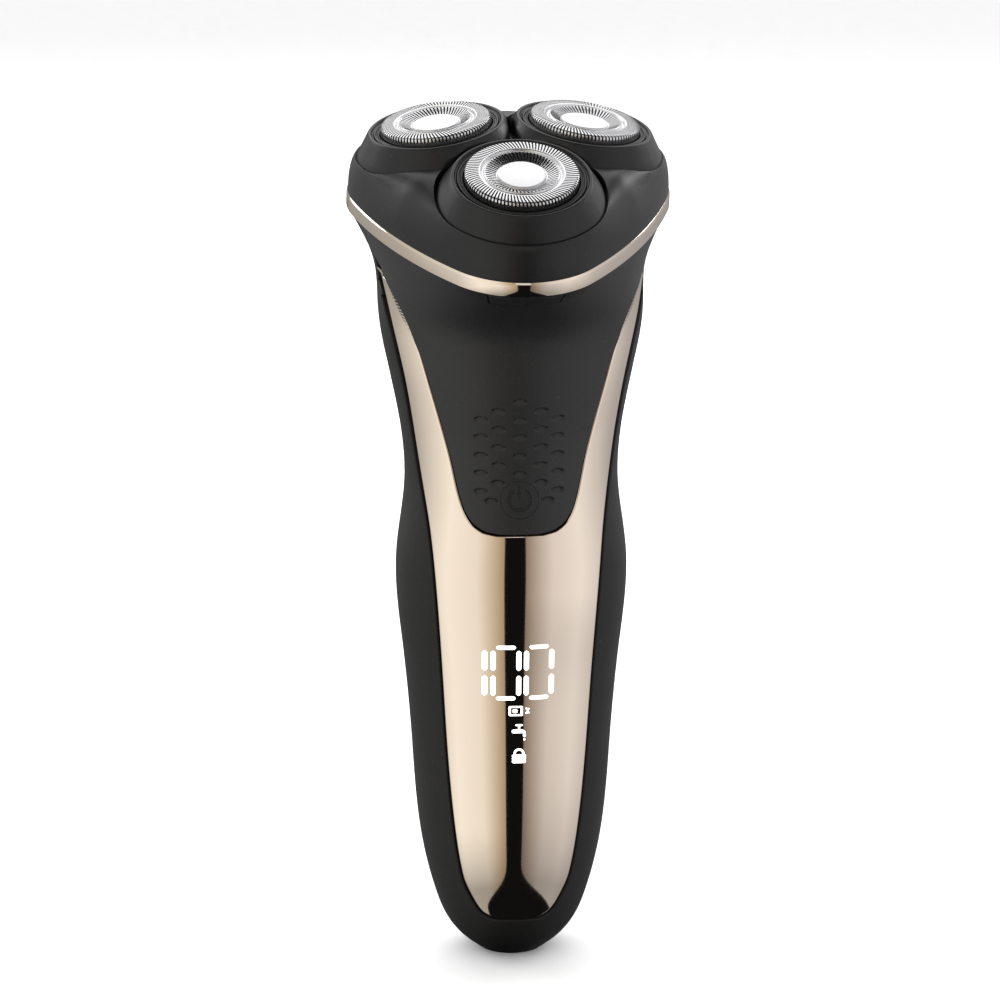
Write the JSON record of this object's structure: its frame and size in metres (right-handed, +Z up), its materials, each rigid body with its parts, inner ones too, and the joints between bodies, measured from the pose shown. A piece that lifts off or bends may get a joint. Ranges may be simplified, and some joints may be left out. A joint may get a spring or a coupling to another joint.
{
  "type": "electric shaver",
  "caption": "Upright rotary electric shaver: three round floating cutters on a hinged triangular head, slim waisted handle.",
  "frame": {"origin": "centre of the flat foot at the handle's bottom end", "axes": "+Z up the handle towards the head, -Y out of the front that carries the display, +X to the right of a person facing that front"},
  "size_m": [0.0634, 0.0612, 0.1714],
  "materials": {
    "soft_grip": "matte soft-touch",
    "champagne_mirror": "polished",
    "satin_black": "satin",
    "head_black": "satin",
    "foil_steel": "brushed",
    "cap_satin": "satin",
    "cutter_steel": "ground",
    "frame_blue_grey": "satin",
    "inner_plastic": "moulded",
    "gear_white": "moulded",
    "battery_wrap": "shrink film",
    "nickel": "plated",
    "board_green": "solder mask",
    "display_light": "lit",
    "seal_rubber": "matte"
  },
  "bodies": {
    "handle": {"rear_shell": "soft_grip", "front_panel": "champagne_mirror", "neck_shell": "satin_black", "hinge_pin": "cutter_steel", "battery": "battery_wrap", "battery_tabs": "nickel", "chassis": "inner_plastic", "chassis_screws": "cutter_steel", "circuit_board": "board_green", "display_module": "inner_plastic", "light_guides": "display_light", "key_switch": "inner_plastic", "charging_socket": "nickel", "motor": "nickel", "gear_plate": "inner_plastic", "chamber_floor": "inner_plastic", "spindle_seals": "seal_rubber"},
    "power_key": {"power_key": "satin_black"},
    "release_button": {"release_button": "satin_black"},
    "rotor": {"motor_pinion": "gear_white"},
    "head": {"head_shell": "head_black", "trim_ring": "champagne_mirror", "retainer_frame": "frame_blue_grey"},
    "retainer_knob": {"retainer_knob": "frame_blue_grey"},
    "drive_1": {"drive_gear_1": "gear_white", "drive_spindle_1": "gear_white"},
    "pod_1": {"pod_1": "head_black", "bezel_1": "head_black"},
    "foil_1": {"foil_1": "foil_steel", "foil_cap_1": "cap_satin"},
    "cutter_1": {"cutter_1": "cutter_steel"},
    "drive_2": {"drive_gear_2": "gear_white", "drive_spindle_2": "gear_white"},
    "pod_2": {"pod_2": "head_black", "bezel_2": "head_black"},
    "foil_2": {"foil_2": "foil_steel", "foil_cap_2": "cap_satin"},
    "cutter_2": {"cutter_2": "cutter_steel"},
    "drive_3": {"drive_gear_3": "gear_white", "drive_spindle_3": "gear_white"},
    "pod_3": {"pod_3": "head_black", "bezel_3": "head_black"},
    "foil_3": {"foil_3": "foil_steel", "foil_cap_3": "cap_satin"},
    "cutter_3": {"cutter_3": "cutter_steel"}
  },
  "joints": [
    {"name": "head_opening", "type": "hinge", "parent": "handle", "child": "head", "pos_m": [0, 0.02435, 0.1591], "axis": [-1, 0, 0], "range_deg": [0, 95]},
    {"name": "release_press", "type": "slide", "parent": "handle", "child": "release_button", "axis": [0, 0.9613, 0.2756], "range_m": [0, 0.001], "stiffness_N_per_m": 600},
    {"name": "power_press", "type": "slide", "parent": "handle", "child": "power_key", "axis": [0, 1, 0], "range_m": [0, 0.0004], "stiffness_N_per_m": 800},
    {"name": "motor_spin", "type": "hinge", "parent": "handle", "child": "rotor", "pos_m": [0, -0.00604, 0.16666], "axis": [0, -0.2756, 0.9613], "continuous": true},
    {"name": "knob_turn", "type": "hinge", "parent": "head", "child": "retainer_knob", "pos_m": [0, -0.00604, 0.16666], "axis": [0, -0.2756, 0.9613], "range_deg": [0, 60]},
    {"name": "drive_1_spin", "type": "hinge", "parent": "handle", "child": "drive_1", "pos_m": [0, -0.02094, 0.16239], "axis": [0, -0.2756, 0.9613], "continuous": true},
    {"name": "pod_1_tilt", "type": "hinge", "parent": "head", "child": "pod_1", "pos_m": [0, -0.01966, 0.15659], "axis": [1, 0, 0], "range_deg": [-3, 3], "stiffness_Nm_per_rad": 0.3},
    {"name": "foil_1_float", "type": "slide", "parent": "pod_1", "child": "foil_1", "axis": [0, -0.4226, 0.9063], "range_m": [-0.0008, 0], "stiffness_N_per_m": 400},
    {"name": "cutter_1_spin", "type": "hinge", "parent": "foil_1", "child": "cutter_1", "pos_m": [0, -0.02219, 0.16203], "axis": [0, -0.4226, 0.9063], "continuous": true},
    {"name": "drive_2_spin", "type": "hinge", "parent": "handle", "child": "drive_2", "pos_m": [0.01342, 0.00141, 0.1688], "axis": [0, -0.2756, 0.9613], "continuous": true},
    {"name": "pod_2_tilt", "type": "hinge", "parent": "head", "child": "pod_2", "pos_m": [0.01374, 0.00321, 0.16315], "axis": [-0.5, 0.8325, 0.2387], "range_deg": [-3, 3], "stiffness_Nm_per_rad": 0.3},
    {"name": "foil_2_float", "type": "slide", "parent": "pod_2", "child": "foil_2", "axis": [0.1355, -0.1971, 0.971], "range_m": [-0.0008, 0], "stiffness_N_per_m": 400},
    {"name": "cutter_2_spin", "type": "hinge", "parent": "foil_2", "child": "cutter_2", "pos_m": [0.01455, 0.00203, 0.16898], "axis": [0.1355, -0.1971, 0.971], "continuous": true},
    {"name": "drive_3_spin", "type": "hinge", "parent": "handle", "child": "drive_3", "pos_m": [-0.01342, 0.00141, 0.1688], "axis": [0, -0.2756, 0.9613], "continuous": true},
    {"name": "pod_3_tilt", "type": "hinge", "parent": "head", "child": "pod_3", "pos_m": [-0.01374, 0.00321, 0.16315], "axis": [-0.5, -0.8325, -0.2387], "range_deg": [-3, 3], "stiffness_Nm_per_rad": 0.3},
    {"name": "foil_3_float", "type": "slide", "parent": "pod_3", "child": "foil_3", "axis": [-0.1355, -0.1971, 0.971], "range_m": [-0.0008, 0], "stiffness_N_per_m": 400},
    {"name": "cutter_3_spin", "type": "hinge", "parent": "foil_3", "child": "cutter_3", "pos_m": [-0.01455, 0.00203, 0.16898], "axis": [-0.1355, -0.1971, 0.971], "continuous": true}
  ],
  "couplings": [
    {"joint": "drive_1_spin", "follows": "motor_spin", "ratio": -0.5},
    {"joint": "cutter_1_spin", "follows": "motor_spin", "ratio": -0.5},
    {"joint": "drive_2_spin", "follows": "motor_spin", "ratio": -0.5},
    {"joint": "cutter_2_spin", "follows": "motor_spin", "ratio": -0.5},
    {"joint": "drive_3_spin", "follows": "motor_spin", "ratio": -0.5},
    {"joint": "cutter_3_spin", "follows": "motor_spin", "ratio": -0.5}
  ]
}
